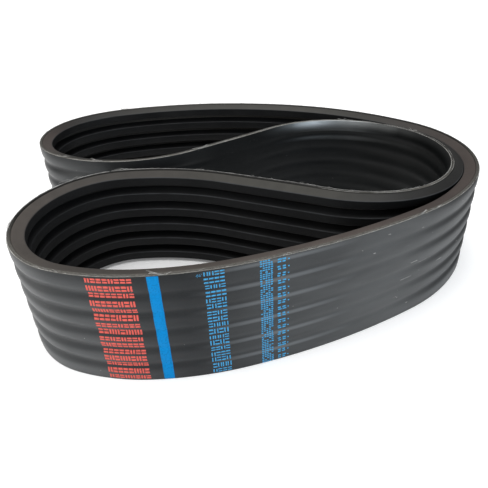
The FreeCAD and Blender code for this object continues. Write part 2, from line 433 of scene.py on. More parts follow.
def make_inner_ply():
    """The flat ply on the rib backs, whose cut edge shows beside the seam."""
    corners = [
        (RIB_BACK, 0.0),
        (INNER_PLY_BACK, 0.0),
        (INNER_PLY_BACK, BELT_WIDTH),
        (RIB_BACK, BELT_WIDTH),
    ]
    outline = rounded_outline(corners, [PLY_CORNER] * 4, [2] * 4, [1, 12, 1, 12])
    jitter = wander(PLY_FRAY_REACH, PLY_FRAY)[:, None]
    at_edge = np.isclose(outline[:, 1], BELT_WIDTH)[None, :]
    groove = by_stops(SEAM_GROOVE, stations)[:, None]
    height = outline[None, :, 1] - (np.abs(jitter) + groove) * at_edge
    ply = ring_object("tie_band_ply", [(outline[None, :, 0] + 0.0 * jitter, height)])
    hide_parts("tie_band_inner_ply")
    return ply


# ---------------------------------------- frayed threads

def tube(path, radius, sides=6):
    """Points and faces of a closed tube along a path of points."""
    path = np.asarray(path)
    ahead = np.gradient(path, axis=0)
    ahead /= np.linalg.norm(ahead, axis=1)[:, None]
    up = np.array([0.0, 0.0, 1.0]) + 0.35 * np.array([1.0, 0.3, 0.0])
    side = np.cross(ahead, up)
    side /= np.linalg.norm(side, axis=1)[:, None]
    top = np.cross(side, ahead)
    angles = (np.arange(sides) * 2.0 * math.pi / sides)[None, :, None]
    radii = np.broadcast_to(radius, len(path))[:, None, None]
    ring = side[:, None] * np.cos(angles) + top[:, None] * np.sin(angles)
    points = (path[:, None] + ring * radii).reshape(-1, 3)
    faces = []
    for row in range(len(path) - 1):
        for column in range(sides):
            after = (column + 1) % sides
            low, high = row * sides, (row + 1) * sides
            faces.append([low + column, low + after, high + after, high + column])
    faces.append(list(range(sides))[::-1])
    faces.append([(len(path) - 1) * sides + column for column in range(sides)])
    return points, faces


# The stretch where the seam's own threads show: the inner run and the bend after it.
FRAYED = (1240.0 * MM, 1840.0 * MM)
# How thick the thread along the back's border is, by place along the belt, in mm.
BORDER_THREAD = [
    (0.0, 0.12), (1040.0, 0.12), (1060.0, 0.19), (1990.0, 0.20),
    (2040.0, 0.33), (2080.0, 0.33), (2120.0, 0.42), (2215.0, 0.36), (2240.0, 0.12),
]
SEAM_THREAD = [(0.0, 0.15)]
# The share of the loop that a thread's runs cover, with the shortest and the longest run.
BORDER_RUNS = (0.985, 60.0 * MM, 220.0 * MM)
SEAM_RUNS = (0.7, 5.0 * MM, 45.0 * MM)
# How far a thread's axis lies in from the back or out from the ribs, and below the edge.
BORDER_INSET, BORDER_SINK, BORDER_JITTER = 0.42 * MM, 0.02 * MM, 0.05 * MM
SEAM_INSET, SEAM_SINK, SEAM_JITTER = 0.35 * MM, 0.05 * MM, 0.06 * MM
BOTTOM_THREADS = 0.25 * MM
THREAD_STEP = 3.0 * MM
THREAD_SHAKE = 0.35
THREAD_TIP = 0.35


def edge_runs(share, shortest, longest):
    """Random (begin, end) runs along the loop that cover about this share of it."""
    runs = []
    along = 0.0
    while along < cord_line.length:
        run = rng.uniform(shortest, longest)
        runs.append((along, min(along + run, cord_line.length)))
        along += run + run * (1.0 - share) / share * rng.uniform(0.4, 1.6)
    return runs


def edge_thread(begin, end, depth_of, height, radii, jitter):
    """A thread lying along one cut edge of the tie band."""
    count = max(4, int((end - begin) / THREAD_STEP))
    along = np.linspace(begin, end, count)
    shake = np.cumsum(rng.normal(size=(2, count)), axis=1) * THREAD_SHAKE
    shake -= np.linspace(shake[:, 0], shake[:, -1], count).T
    shake = np.clip(shake, -1.0, 1.0) * jitter
    path = on_belt(along, depth_of(along) + shake[0], height + shake[1])
    from_end = np.minimum(np.arange(count), np.arange(count)[::-1])
    taper = np.minimum(1.0, from_end / 2.0 + THREAD_TIP)
    return tube(path, by_stops(radii, along) * taper)


def make_edge_threads(name, height, outward):
    """Threads laid bare along a cut edge: a long one at the back, a broken one at the seam."""
    tubes = []
    for begin, end in edge_runs(*BORDER_RUNS):
        tubes.append(edge_thread(
            begin, end, lambda along: back_depth(along, height) - BORDER_INSET,
            height - outward * BORDER_SINK, BORDER_THREAD, BORDER_JITTER))
    for begin, end in edge_runs(*SEAM_RUNS):
        if begin < FRAYED[0] or end > FRAYED[1]:
            continue
        tubes.append(edge_thread(
            begin, end, lambda along: RIB_BACK + SEAM_INSET + 0.0 * along,
            height - outward * SEAM_SINK, SEAM_THREAD, SEAM_JITTER))
    return joined_object(name, tubes)


# Places along the belt where a tuft of loose fibres stands out of the top edge, in mm.
TUFTS = [22.0, 242.0, 262.0, 905.0, 1107.0, 1155.0, 1268.0, 1473.0, 1561.0, 2044.0, 2095.0, 2178.0]
TUFT_FIBRES = 7
TUFT_SPREAD = 3.0
TUFT_THICK = 0.19 * MM
FIBRE_THICK = 0.10 * MM
FIBRE_INSET = 0.4 * MM
FIBRE_POINTS = 7
TOP_FIBRES, BOTTOM_FIBRES = 260, 120
BOTTOM_LENGTH = 0.4


def fibre(along, height, outward, length, thick):
    """One loose fibre: a thin curved hair that starts at the cut edge and leans along it."""
    lean = rng.choice([-1.0, 1.0])
    share = np.linspace(0.0, 1.0, FIBRE_POINTS)
    curl = rng.uniform(-0.5, 0.5)
    run = along + lean * length * share + curl * length * share ** 2 * 0.5
    rise = outward * length * rng.uniform(0.08, 0.42) * np.sin(share * rng.uniform(1.2, 2.6))
    spread = rng.uniform(-0.35, 0.30) * length * share ** 2
    depth = back_depth(along, height) - FIBRE_INSET + spread
    path = on_belt(run, depth, height + rise)
    return tube(path, rng.uniform(0.7, 1.3) * thick * (1.0 - 0.5 * share), sides=4)


def make_fibres():
    """Loose fibres along both cut edges, thicker in tufts."""
    tubes = []
    edges = ((BELT_WIDTH, 1.0, TOP_FIBRES, 1.0), (0.0, 0.0, BOTTOM_FIBRES, BOTTOM_LENGTH))
    for height, outward, count, share in edges:
        for along in rng.uniform(0.0, cord_line.length, count):
            length = rng.uniform(1.5, 5.5) * MM * share
            tubes.append(fibre(along, height, outward, length, FIBRE_THICK))
    for tuft in TUFTS:
        for _ in range(TUFT_FIBRES):
            along = (tuft + rng.uniform(-TUFT_SPREAD, TUFT_SPREAD)) * MM
            length = rng.uniform(3.5, 9.0) * MM
            tubes.append(fibre(along, BELT_WIDTH, 1.0, length, TUFT_THICK))
    return joined_object("loose_fibres", tubes)


# ---------------------------------------- printed marks
# The belt's own words and codes are left out. Plain strokes in the same colours, rows and
# columns stand in for them.
INK_THICKNESS = 0.05 * MM
INK_STEP = 1.6 * MM


def ink_patch(begin, end, low, high):
    """Points and faces of a thin closed patch of ink that follows the back."""
    columns = max(2, int(math.ceil((end - begin) / (2.0 * INK_STEP))) + 1)
    rows = max(2, int(math.ceil((high - low) / INK_STEP)) + 1)
    along, height = np.meshgrid(np.linspace(begin, end, columns), np.linspace(low, high, rows))
    surface = back_depth(along, height)
    over = on_belt(along, surface + INK_THICKNESS, height).reshape(-1, 3)
    under = on_belt(along, surface - INK_THICKNESS, height).reshape(-1, 3)
    faces = []
    sheet = rows * columns
    for row in range(rows - 1):
        for column in range(columns - 1):
            corner = row * columns + column
            quad = [corner, corner + 1, corner + columns + 1, corner + columns]
            faces.append(quad)
            faces.append([sheet + index for index in reversed(quad)])
    rim = list(range(columns))
    rim += [row * columns + columns - 1 for row in range(1, rows)]
    rim += [(rows - 1) * columns + column for column in range(columns - 2, -1, -1)]
    rim += [row * columns for row in range(rows - 2, 0, -1)]
    for here, there in zip(rim, rim[1:] + rim[:1]):
        faces.append([here, sheet + here, sheet + there, there])
    return np.concatenate([over, under]), faces


# Where the printing stands, in mm along the belt, and how many rows and strokes it has.
RED_FROM, RED_TO = -36.0, -0.8
RED_ROWS = 15
RED_CELLS = 8
RED_TALL = (4.2, 5.5)
RED_WEIGHT = 0.80
STRIPE_FROM, STRIPE_TO = 9.6, 18.3
SIZE_FROM, SIZE_TO = 50.6, 66.8
SIZE_ROWS = 17
SIZE_CELLS = 4
SIZE_TALL = (3.8, 5.0)
SIZE_WEIGHT = 0.60
DENSE_FROM, DENSE_TO = 93.2, 103.6
DENSE_ROWS = 52
DENSE_STEP = 2.15
SPARSE_FROM = 107.4
SPARSE_ROWS = 16
SPARSE_STEP = 4.0
SPARSE_RISE = 1.15
SPARSE_DOT = 8.6
SMUDGE_FROM, SMUDGE_WIDE = 45.0, 4.0
SMUDGE_LOW, SMUDGE_HIGH = 106.5, 109.5
SMUDGE_DOTS = 14
INK_MARGIN = 0.25
STRIPE_MARGIN = 0.5 * MM
LEVEL_SHARE = 0.65
CELL_FILL = 0.84


def mark(along, centre, wide, tall):
    """One printed dash, in millimetres along the belt and up it."""
    ends = np.array([centre - tall / 2.0, centre + tall / 2.0])
    low, high = np.clip(ends, INK_MARGIN, BELT_WIDTH / MM - INK_MARGIN) * MM
    return ink_patch(along * MM, (along + wide) * MM, low, high)


def cell(along, centre, wide, tall, weight):
    """Strokes in place of one printed character: two level ones or two upright ones."""
    if rng.uniform() < LEVEL_SHARE:
        thick = weight * tall / 2.0
        rise = (tall - thick) / 2.0
        return [mark(along, centre - rise, wide, thick), mark(along, centre + rise, wide, thick)]
    thick = weight * wide / 2.0
    return [mark(along, centre, thick, tall), mark(along + wide - thick, centre, thick, tall)]


def rows_of_cells(begin, end, rows, cells, tall, weight):
    """Rows of such strokes up the belt's width, every other row shorter."""
    patches = []
    pitch = BELT_WIDTH / MM / rows
    step = (end - begin) / cells
    for row in range(rows):
        centre = (row + 0.5) * pitch + rng.uniform(-0.25, 0.25)
        height = tall[row % 2] + rng.uniform(-0.2, 0.2)
        start = begin + rng.uniform(-0.3, 0.3)
        for index in range(cells):
            patches += cell(start + index * step, centre, step * CELL_FILL, height, weight)
    return patches


def dense_column():
    """A column of fine print, as rows of short dashes."""
    patches = []
    pitch = BELT_WIDTH / MM / DENSE_ROWS
    for row in range(DENSE_ROWS):
        for along in np.arange(DENSE_FROM, DENSE_TO - 1.0, DENSE_STEP):
            if rng.uniform() < 0.92:
                patches.append(mark(along, (row + 0.5) * pitch, rng.uniform(1.4, 1.8), 1.25))
    return patches


def sparse_column():
    """Small groups of dashes with a dot beside them."""
    patches = []
    pitch = BELT_WIDTH / MM / SPARSE_ROWS
    for row in range(SPARSE_ROWS):
        centre = (row + 0.5) * pitch
        for start in (SPARSE_FROM, SPARSE_FROM + SPARSE_STEP):
            for rise in (-SPARSE_RISE, SPARSE_RISE):
                along = start + rng.uniform(-0.3, 0.3)
                patches.append(mark(along, centre + rise, rng.uniform(2.4, 3.3), 1.4))
        patches.append(mark(SPARSE_FROM + SPARSE_DOT, centre, 1.2, 1.2))
    return patches


def blue_stripe():
    """The wide blue stripe across the back."""
    top = BELT_WIDTH - STRIPE_MARGIN
    return [ink_patch(STRIPE_FROM * MM, STRIPE_TO * MM, STRIPE_MARGIN, top)]


def blue_marks():
    """The three blue columns and a smudge beside the first."""
    patches = rows_of_cells(SIZE_FROM, SIZE_TO, SIZE_ROWS, SIZE_CELLS, SIZE_TALL, SIZE_WEIGHT)
    patches += dense_column()
    patches += sparse_column()
    for _ in range(SMUDGE_DOTS):
        along = SMUDGE_FROM + rng.uniform(0.0, SMUDGE_WIDE)
        patches.append(mark(along, rng.uniform(SMUDGE_LOW, SMUDGE_HIGH), 0.6, 0.35))
    return patches


# Pale scuffs on the right of the front run: place, height, length and width, in mm.
SCUFFS = [
    (195.0, 89.0, 2.4, 0.35), (226.0, 27.0, 3.2, 0.45), (229.0, 25.4, 1.6, 0.35),
    (241.0, 61.5, 8.0, 0.45), (231.0, 45.5, 13.0, 0.30), (277.0, 48.5, 8.0, 0.35),
    (243.0, 12.5, 2.5, 0.50), (248.0, 97.5, 2.0, 0.55), (252.0, 57.5, 16.0, 0.22),
    (208.0, 104.0, 3.0, 0.40),
]


def make_scuffs():
    """Short pale scuff marks."""
    patches = [mark(along, height, wide, tall) for along, height, wide, tall in SCUFFS]
    return joined_object("scuffs", patches)


# ---------------------------------------- materials

class Shader:
    """A material's node tree, with short calls for the nodes used here."""

    def __init__(self, name):
        self.material = bpy.data.materials.new(name)
        self.material.use_nodes = True
        self.tree = self.material.node_tree
        self.main = self.tree.nodes["Principled BSDF"]

    def node(self, kind, **settings):
        made = self.tree.nodes.new(kind)
        for key, value in settings.items():
            setattr(made, key, value)
        return made

    def link(self, source, target):
        self.tree.links.new(source, target)

    def set(self, **sockets):
        for name, value in sockets.items():
            self.main.inputs[name.replace("_", " ")].default_value = value

    def feed(self, socket, value):
        if isinstance(value, (int, float, tuple)):
            socket.default_value = value
        else:
            self.link(value, socket)

    def connect(self, **sockets):
        for name, source in sockets.items():
            self.link(source, self.main.inputs[name.replace("_", " ")])

    def math(self, operation, first, second=0.0):
        made = self.node("ShaderNodeMath", operation=operation)
        self.feed(made.inputs[0], first)
        self.feed(made.inputs[1], second)
        return made.outputs[0]

    def times(self, first, second):
        return self.math("MULTIPLY", first, second)

    def plus(self, first, second):
        return self.math("ADD", first, second)

    def mix(self, share, first, second):
        made = self.node("ShaderNodeMix", data_type="RGBA")
        self.feed(made.inputs[0], share)
        self.feed(made.inputs[6], first)
        self.feed(made.inputs[7], second)
        return made.outputs[2]

    def span(self, value, low, high, to_low=0.0, to_high=1.0):
        made = self.node("ShaderNodeMapRange", clamp=True)
        for socket, number in zip(made.inputs, (value, low, high, to_low, to_high)):
            self.feed(socket, number)
        return made.outputs[0]

    def noise(self, vector, scale, detail=4.0, rough=0.55):
        made = self.node("ShaderNodeTexNoise")
        self.link(vector, made.inputs["Vector"])
        self.feed(made.inputs["Scale"], scale)
        self.feed(made.inputs["Detail"], detail)
        self.feed(made.inputs["Roughness"], rough)
        return made.outputs[0]

    def place(self):
        return self.node("ShaderNodeTexCoord").outputs["Object"]

    def belt_place(self):
        return self.node("ShaderNodeUVMap", uv_map="belt").outputs[0]

    def stretched(self, vector, x, y):
        made = self.node("ShaderNodeMapping")
        self.link(vector, made.inputs["Vector"])
        made.inputs["Scale"].default_value = (x, y, 1.0)
        return made.outputs[0]

    def parts(self, vector):
        made = self.node("ShaderNodeSeparateXYZ")
        self.link(vector, made.inputs[0])
        return made.outputs

    def by_place(self, stops):
        """A value that changes along the belt, from (place in mm, value) stops."""
        ramp = self.node("ShaderNodeValToRGB")
        elements = ramp.color_ramp.elements
        for element in elements:
            element.color = rgb(*[stops[0][1]] * 3)
        for place, value in stops[1:]:
            share = (place * MM - SEAM) % cord_line.length / cord_line.length
            elements.new(share).color = rgb(*[value] * 3)
        along = self.parts(self.belt_place())[0]
        self.link(self.span(along, SEAM, SEAM + cord_line.length), ramp.inputs[0])
        return ramp.outputs[0]

    def bump(self, height, distance, strength):
        made = self.node("ShaderNodeBump")
        made.inputs["Strength"].default_value = strength
        made.inputs["Distance"].default_value = distance
        self.link(height, made.inputs["Height"])
        self.link(made.outputs[0], self.main.inputs["Normal"])

    def wave(self, height, start):
        """1 at a height and at every rib pitch from it, -1 half-way between."""
        from_start = self.math("SUBTRACT", height, start)
        return self.math("COSINE", self.times(from_start, 2.0 * math.pi / RIB_PITCH))

    def weave(self, pitch):
        """A plain weave on the bias, from 0 to 1, in the belt's own directions."""
        along, across, _ = self.parts(self.belt_place())
        turns = 2.0 * math.pi / (pitch * math.sqrt(2.0))
        warp = self.math("SINE", self.times(self.plus(along, across), turns))
        weft = self.math("SINE", self.times(self.math("SUBTRACT", along, across), turns))
        return self.plus(self.times(self.times(warp, weft), 0.5), 0.5)


def rgb(red, green, blue):
    """A colour from its linear values."""
    return (red, green, blue, 1.0)


WEAVE_PITCH = 0.85 * MM
WEAVE_DEPTH = 0.030 * MM

# Colours, in linear values.
BACK_DARK = rgb(0.0105, 0.011, 0.0117)
BACK_PALE = rgb(0.0155, 0.0164, 0.0173)
BACK_GRAIN = rgb(0.025, 0.0258, 0.027)
BACK_SCRATCH = rgb(0.11, 0.115, 0.12)
BACK_SPECK = rgb(0.35, 0.34, 0.32)
# Painted highlight: pale lines along the front run's hollows.
HOLLOW_HIGHLIGHT = rgb(0.098, 0.103, 0.108)
# Painted shade inside the fold.
FOLD_SHADE_TONE = rgb(0.0055, 0.0062, 0.0062)
# Painted shade on the fold's hollows and painted highlight on its bulges.
FOLD_HOLLOW_SHADE = rgb(0.0030, 0.0034, 0.0034)
FOLD_BULGE_HIGHLIGHT = rgb(0.0180, 0.0185, 0.0185)
SHINE_TINT = rgb(0.93, 0.98, 1.0)
EDGE_RUBBER = rgb(0.010, 0.0095, 0.009)
EDGE_THREADS = rgb(0.20, 0.19, 0.17)
RIB_DARK = rgb(0.0058, 0.0061, 0.0067)
RIB_PALE = rgb(0.0092, 0.0095, 0.0100)
RIB_GRAIN = rgb(0.08, 0.077, 0.072)
# Painted highlight on each rib's upper corner.
RIB_CORNER_HIGHLIGHT = rgb(0.055, 0.058, 0.062)
DUST_OLIVE = rgb(0.072, 0.073, 0.064)
DUST_RED = rgb(0.090, 0.071, 0.064)
THREAD_DIRTY = rgb(0.17, 0.168, 0.160)
THREAD_CLEAN = rgb(0.58, 0.570, 0.545)
THREAD_GREY = rgb(0.12, 0.115, 0.105)
CORD_DARK = rgb(0.32, 0.23, 0.13)
CORD_PALE = rgb(0.52, 0.42, 0.29)
WHITE = rgb(1.0, 1.0, 1.0)

# How pale the tie band's cut edge is, by place along the belt in mm, starting at the seam.
EDGE_PALE = [
    (1200.0, 0.72), (1420.0, 0.65), (1490.0, 0.40), (1560.0, 0.12), (1660.0, 0.20), (1720.0, 0.55),
    (1800.0, 0.25), (1860.0, 0.04), (2165.0, 0.04), (2215.0, 0.60), (250.0, 0.55), (380.0, 0.30),
    (440.0, 0.08), (700.0, 0.15), (850.0, 0.35), (960.0, 0.18), (1060.0, 0.40),
]
# How strongly the back shines: less round the red print and in the folded bend. There only the
# top edge and the second bulge, this high above the floor, catch the light.
BACK_SHINE = [
    (1200.0, 0.38), (1290.0, 0.09), (1860.0, 0.09), (2050.0, 0.50), (2290.0, 0.52), (2329.0, 0.28),
    (40.0, 0.16), (95.0, 0.34), (180.0, 0.48), (290.0, 0.50), (345.0, 0.35), (900.0, 0.42),
]
FOLD_SHINE = [
    (1200.0, 0.0), (1350.0, 0.1), (1400.0, 0.95), (1440.0, 3.9), (1485.0, 6.2), (1515.0, 1.4),
    (1545.0, 0.2), (1640.0, 0.15),
]
SECOND_BULGE = 90.0 * MM
SECOND_SHINE = 0.20
# The bulges are rubbed brighter than the hollows: their height above the floor, and how much.
CREST_LINE = 6.0 * MM
CREST_POLISH = [
    (1200.0, 0.0), (1600.0, 0.0), (2060.0, 1.0), (2290.0, 0.9), (40.0, 0.6), (100.0, 0.0),
    (225.0, 0.0), (285.0, 1.5), (360.0, 1.8), (900.0, 1.0), (1100.0, 1.0),
]
# Painted shade: the back is darker inside the fold, where little light reaches.
FOLD_SHADE_AMOUNT = [(1200.0, 0.0), (1270.0, 0.55), (1560.0, 0.55), (1680.0, 0.35), (1780.0, 0.0)]
# Painted highlight and shade: its bulges are painted paler than its hollows there, as if lit
# from above: their height above the floor, and how much.
FOLD_LIGHT_BAND_HEIGHT = 17.5 * MM
FOLD_LIGHT_BANDS = [(1200.0, 0.0), (1460.0, 0.0), (1520.0, 0.9), (1600.0, 0.9), (1760.0, 0.0)]
# The right end is duller: extra roughness by place.
END_DULL = [(1200.0, 0.0), (255.0, 0.0), (330.0, 0.11), (480.0, 0.14), (560.0, 0.0)]
# A painted highlight along the front run's hollows, where the bulge below catches the light:
# its height above the floor, and how much by place.
HOLLOW_HIGHLIGHT_HEIGHT = 14.2 * MM
HOLLOW_HIGHLIGHT_AMOUNT = [(1200.0, 0.0), (40.0, 0.0), (85.0, 0.75), (130.0, 0.7), (180.0, 0.0)]
# How pale the top flank is from dust; it is lowered in places as painted shade, where the flank
# turns away from the light.
FLANK_DUST_AND_SHADE = [
    (1200.0, 0.50), (1630.0, 0.10), (1760.0, 0.12), (1840.0, 0.66), (1920.0, 0.66), (2060.0, 0.52),
    (2120.0, 0.72), (2165.0, 0.90), (2220.0, 0.80), (2320.0, 0.64), (110.0, 0.98), (190.0, 0.92),
    (250.0, 0.58), (420.0, 0.64), (560.0, 0.38), (650.0, 0.62), (760.0, 0.55), (860.0, 0.42),
    (950.0, 0.18), (990.0, 0.28), (1035.0, 0.62), (1080.0, 0.66), (1125.0, 0.36), (1160.0, 0.48),
]
# A painted highlight: a fine pale line along the upper corner of each rib's face, where the
# overhead light catches it: its height on the lowest rib, and how pale it is.
CORNER_HIGHLIGHT_HEIGHT = 12.9 * MM
CORNER_HIGHLIGHT_AMOUNT = [
    (1200.0, 0.45), (1850.0, 0.60), (2020.0, 0.60), (2110.0, 0.20), (2250.0, 0.15), (300.0, 0.15),
    (900.0, 0.35),
]
# Where the ribs are duller: extra roughness by place.
JACKET_DULL = [
    (1200.0, 0.0), (1780.0, 0.0), (1840.0, 0.32), (1960.0, 0.32), (2060.0, 0.15), (2130.0, 0.32),
    (2250.0, 0.20), (2300.0, 0.0),
]
# Where the dust is reddish rather than olive.
FLANK_RED = [
    (1200.0, 0.3), (1900.0, 0.2), (2160.0, 0.6), (2300.0, 0.5), (290.0, 1.0), (430.0, 0.8),
    (600.0, 0.2), (950.0, 0.2), (1010.0, 1.0), (1070.0, 0.8), (1110.0, 0.2),
]


def edge_tone(shader, threads):
    """Colour of the tie band's cut edge: dark rubber with pale thread ends."""
    pale = shader.times(shader.by_place(EDGE_PALE), shader.span(threads, 0.35, 0.65, 0.45, 1.25))
    return shader.mix(pale, EDGE_RUBBER, EDGE_THREADS)


def back_shine(shader, height):
    """How strongly the back reflects, by place along the belt and height across it."""
    near_top = shader.span(height, BELT_WIDTH - 14.0 * MM, BELT_WIDTH - 4.0 * MM)
    from_second = shader.math("ABSOLUTE", shader.math("SUBTRACT", height, SECOND_BULGE))
    near_second = shader.span(from_second, 1.0 * MM, 4.0 * MM, SECOND_SHINE, 0.0)
    near_either = shader.math("MAXIMUM", near_top, near_second)
    in_fold = shader.times(shader.by_place(FOLD_SHINE), near_either)
    by_height = shader.span(height, 0.0, BELT_WIDTH, 1.35, 0.92)
    shine = shader.times(shader.by_place(BACK_SHINE), by_height)
    shine = shader.math("MAXIMUM", shine, in_fold)
    patches = shader.noise(shader.stretched(shader.belt_place(), 14.0, 60.0), 1.0, 3.0, 0.6)
    shine = shader.times(shine, shader.span(patches, 0.3, 0.7, 0.80, 1.20))
    rubbed = shader.span(shader.wave(height, CREST_LINE), -1.0, 1.0, -0.55, 0.12)
    rubbed = shader.plus(shader.times(rubbed, shader.by_place(CREST_POLISH)), 1.0)
    return shader.times(shine, rubbed)


def cover_material():
    """Rubberised fabric of the back: charcoal, satin, faint weave, scuffs and cut edges, with
    painted highlights along the front run's hollows and painted shade and highlights in the fold.
    """
    shader = Shader("cover_fabric")
    place = shader.place()
    belt = shader.belt_place()
    cloud = shader.noise(place, 14.0, 3.0)
    grain = shader.noise(place, 900.0, 2.0)
    tone = shader.mix(shader.span(cloud, 0.35, 0.65), BACK_DARK, BACK_PALE)
    tone = shader.mix(shader.span(grain, 0.35, 0.75, 0.0, 0.35), tone, BACK_GRAIN)
    streaks = shader.noise(shader.stretched(belt, 22.0, 700.0), 1.0, 3.0, 0.7)
    scratches = shader.span(streaks, 0.70, 0.78, 0.0, 0.55)
    tone = shader.mix(scratches, tone, BACK_SCRATCH)
    specks = shader.noise(place, 420.0, 1.0)
    tone = shader.mix(shader.span(specks, 0.80, 0.84), tone, BACK_SPECK)
    height = shader.parts(place)[2]
    # Painted highlight: pale lines along the front run's hollows, by height and by place.
    line = shader.span(shader.wave(height, HOLLOW_HIGHLIGHT_HEIGHT), 0.70, 1.0)
    line = shader.times(line, shader.by_place(HOLLOW_HIGHLIGHT_AMOUNT))
    tone = shader.mix(line, tone, HOLLOW_HIGHLIGHT)
    # Painted shade: the back is darkened inside the fold.
    tone = shader.mix(shader.by_place(FOLD_SHADE_AMOUNT), tone, FOLD_SHADE_TONE)
    # Painted highlight and shade: pale bands on the fold's bulges, dark ones in its hollows.
    bulge = shader.span(shader.wave(height, FOLD_LIGHT_BAND_HEIGHT), -1.0, 1.0)
    painted_bulge_light = shader.mix(bulge, FOLD_HOLLOW_SHADE, FOLD_BULGE_HIGHLIGHT)
    tone = shader.mix(shader.by_place(FOLD_LIGHT_BANDS), tone, painted_bulge_light)
    top_edge = shader.span(height, BELT_WIDTH - 0.35 * MM, BELT_WIDTH - 0.05 * MM)
    bottom_edge = shader.span(height, 0.05 * MM, 0.35 * MM, 1.0, 0.0)
    cut_edge = shader.math("MAXIMUM", top_edge, bottom_edge)
    threads = shader.noise(shader.stretched(belt, 500.0, 900.0), 1.0, 4.0, 0.7)
    tone = shader.mix(cut_edge, tone, edge_tone(shader, threads))
    rough = shader.span(cloud, 0.3, 0.7, 0.37, 0.45)
    rough = shader.plus(rough, shader.by_place(END_DULL))
    rough = shader.plus(rough, shader.times(cut_edge, 0.35))
    shine = back_shine(shader, height)
    shader.connect(Base_Color=tone, Roughness=rough, Specular_IOR_Level=shine)
    shader.set(Specular_Tint=SHINE_TINT)
    relief = shader.plus(shader.weave(WEAVE_PITCH), shader.times(grain, 0.8))
    shader.bump(relief, WEAVE_DEPTH, 0.6)
    return shader.material


def jacket_material():
    """Rubberised fabric of the ribs: dull brown-black, dusty on the upward flank, with painted
    shade there in places and a painted highlight along each rib's upper corner.
    """
    shader = Shader("jacket_fabric")
    place = shader.place()
    cloud = shader.noise(place, 22.0, 4.0)
    grain = shader.noise(place, 1100.0, 2.0)
    tone = shader.mix(shader.span(cloud, 0.35, 0.65), RIB_DARK, RIB_PALE)
    height = shader.parts(place)[2]
    top_flank = shader.span(height, BELT_WIDTH - 4.6 * MM, BELT_WIDTH - 3.6 * MM)
    patch_noise = shader.noise(place, 60.0, 5.0, 0.6)
    # Dust on the top flank, with painted shade where it is lowered by place.
    dust_and_shade_share = shader.times(top_flank, shader.span(patch_noise, 0.3, 0.7, 0.85, 1.1))
    dust_and_shade_share = shader.times(dust_and_shade_share, shader.by_place(FLANK_DUST_AND_SHADE))
    dust_tone = shader.mix(shader.by_place(FLANK_RED), DUST_OLIVE, DUST_RED)
    tone = shader.mix(dust_and_shade_share, tone, dust_tone)
    # Painted highlight: a fine pale line along each rib's upper corner.
    corner = shader.span(shader.wave(height, CORNER_HIGHLIGHT_HEIGHT), 0.984, 0.997)
    corner = shader.times(corner, shader.by_place(CORNER_HIGHLIGHT_AMOUNT))
    corner = shader.times(corner, shader.span(patch_noise, 0.35, 0.6, 0.5, 1.1))
    tone = shader.mix(corner, tone, RIB_CORNER_HIGHLIGHT)
    tone = shader.mix(shader.span(grain, 0.4, 0.8, 0.0, 0.06), tone, RIB_GRAIN)
    rough = shader.plus(shader.span(cloud, 0.3, 0.7, 0.38, 0.48), shader.by_place(JACKET_DULL))
    shader.connect(Base_Color=tone, Roughness=rough)
    shader.set(Specular_IOR_Level=0.15)
    relief = shader.plus(shader.weave(WEAVE_PITCH), shader.times(grain, 0.8))
    shader.bump(relief, WEAVE_DEPTH, 0.6)
    return shader.material


def plain_rubber(name, dark, light, rough):
    """Moulded rubber with a fine uneven tone."""
    shader = Shader(name)
    place = shader.place()
    cloud = shader.noise(place, 180.0, 5.0, 0.6)
    tone = shader.mix(shader.span(cloud, 0.3, 0.7), rgb(*dark), rgb(*light))
    shader.connect(Base_Color=tone, Roughness=shader.span(cloud, 0.3, 0.7, rough, rough + 0.1))
    shader.bump(cloud, 0.02 * MM, 0.5)
    return shader.material


def edge_material(name):
    """Skim or inner ply, whose cut edges show between the cover and the ribs."""
    shader = Shader(name)
    threads = shader.noise(shader.stretched(shader.belt_place(), 420.0, 1200.0), 1.0, 3.0, 0.7)
    tone = edge_tone(shader, threads)
    shader.connect(Base_Color=tone, Roughness=shader.span(threads, 0.3, 0.7, 0.7, 0.85))
    shader.set(Specular_IOR_Level=0.2)
    shader.bump(threads, 0.06 * MM, 0.8)
    return shader.material


def thread_material():
    """Bare yarn, off-white with grey dirt."""
    shader = Shader("frayed_thread")
    place = shader.place()
    dirt = shader.noise(place, 130.0, 4.0, 0.65)
    fine = shader.noise(place, 2400.0, 2.0)
    tone = shader.mix(shader.span(dirt, 0.32, 0.68), THREAD_DIRTY, THREAD_CLEAN)
    tone = shader.mix(shader.span(fine, 0.4, 0.7, 0.0, 0.3), tone, THREAD_GREY)
    shader.connect(Base_Color=tone, Roughness=shader.span(fine, 0.3, 0.7, 0.75, 0.9))
    shader.bump(fine, 0.03 * MM, 0.7)
    return shader.material


def cord_material():
    """Dipped polyester cord, tan."""
    shader = Shader("polyester_cord")
    place = shader.place()
    fine = shader.noise(place, 1500.0, 3.0)
    tone = shader.mix(shader.span(fine, 0.35, 0.65), CORD_DARK, CORD_PALE)
    shader.connect(Base_Color=tone, Roughness=shader.span(fine, 0.3, 0.7, 0.55, 0.75))
    shader.bump(fine, 0.05 * MM, 0.6)
    return shader.material


def ink_material(name, full, worn):
    """Printing ink on rubberised fabric, thin in places."""
    shader = Shader(name)
    place = shader.place()
    wear = shader.noise(place, 700.0, 3.0, 0.6)
    patchy = shader.noise(place, 90.0, 3.0)
    thin = shader.span(patchy, 0.40, 0.70, 0.25, 0.8)
    thin = shader.times(shader.span(wear, 0.50, 0.66), thin)
    tone = shader.mix(thin, full, worn)
    shader.connect(Base_Color=tone, Roughness=shader.span(wear, 0.3, 0.7, 0.5, 0.65))
    shader.set(Specular_IOR_Level=0.06)
    shader.bump(wear, 0.02 * MM, 0.5)
    return shader.material


def paint(piece, material):
    """Gives a piece one material."""
    piece.data.materials.clear()
    piece.data.materials.append(material)


# ---------------------------------------- stage, lights, camera

FLOOR_HALF = 12.0
FLOOR_DROP = 0.3 * MM


